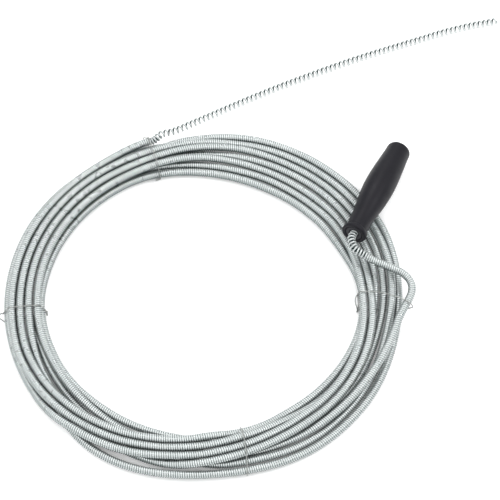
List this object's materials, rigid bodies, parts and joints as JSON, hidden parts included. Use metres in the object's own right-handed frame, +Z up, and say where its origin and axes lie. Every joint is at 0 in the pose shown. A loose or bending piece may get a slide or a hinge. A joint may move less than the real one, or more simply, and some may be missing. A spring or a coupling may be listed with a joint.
{
  "type": "drain auger",
  "caption": "Hand drain auger: a close-wound steel spiral tied in a flat coil, with an opened-out free end and a cranked end in a revolving plastic grip.",
  "frame": {"origin": "on the floor, under the middle of the box round the grip, its fastenings and the tie wires", "axes": "+Z up from the floor the coil lies on, +X towards the grip's side of the coil, +Y towards the free head's side"},
  "size_m": [0.5534, 0.5768, 0.0478],
  "materials": {
    "spiral_steel": "bright galvanised spring steel",
    "tie_steel": "soft galvanised wire",
    "fastener_steel": "zinc plated",
    "grip_plastic": "satin black moulded plastic",
    "bush_plastic": "matt dark grey moulded plastic"
  },
  "bodies": {
    "spiral": {"spiral_coil": "spiral_steel", "spiral_crank_end": "spiral_steel", "spiral_head": "spiral_steel", "retaining_washer": "fastener_steel", "retaining_screw": "fastener_steel", "tie_wire_1": "tie_steel", "tie_wire_2": "tie_steel", "tie_wire_3": "tie_steel", "tie_wire_4": "tie_steel"},
    "grip": {"handle_grip": "grip_plastic", "mouth_bush": "bush_plastic", "handle_end_cap": "grip_plastic"}
  },
  "joints": [
    {"name": "grip_spin", "type": "hinge", "parent": "spiral", "child": "grip", "pos_m": [0.15552, 0.06439, 0.03496], "axis": [0.4044, 0.8999, -0.1633], "continuous": true}
  ]
}
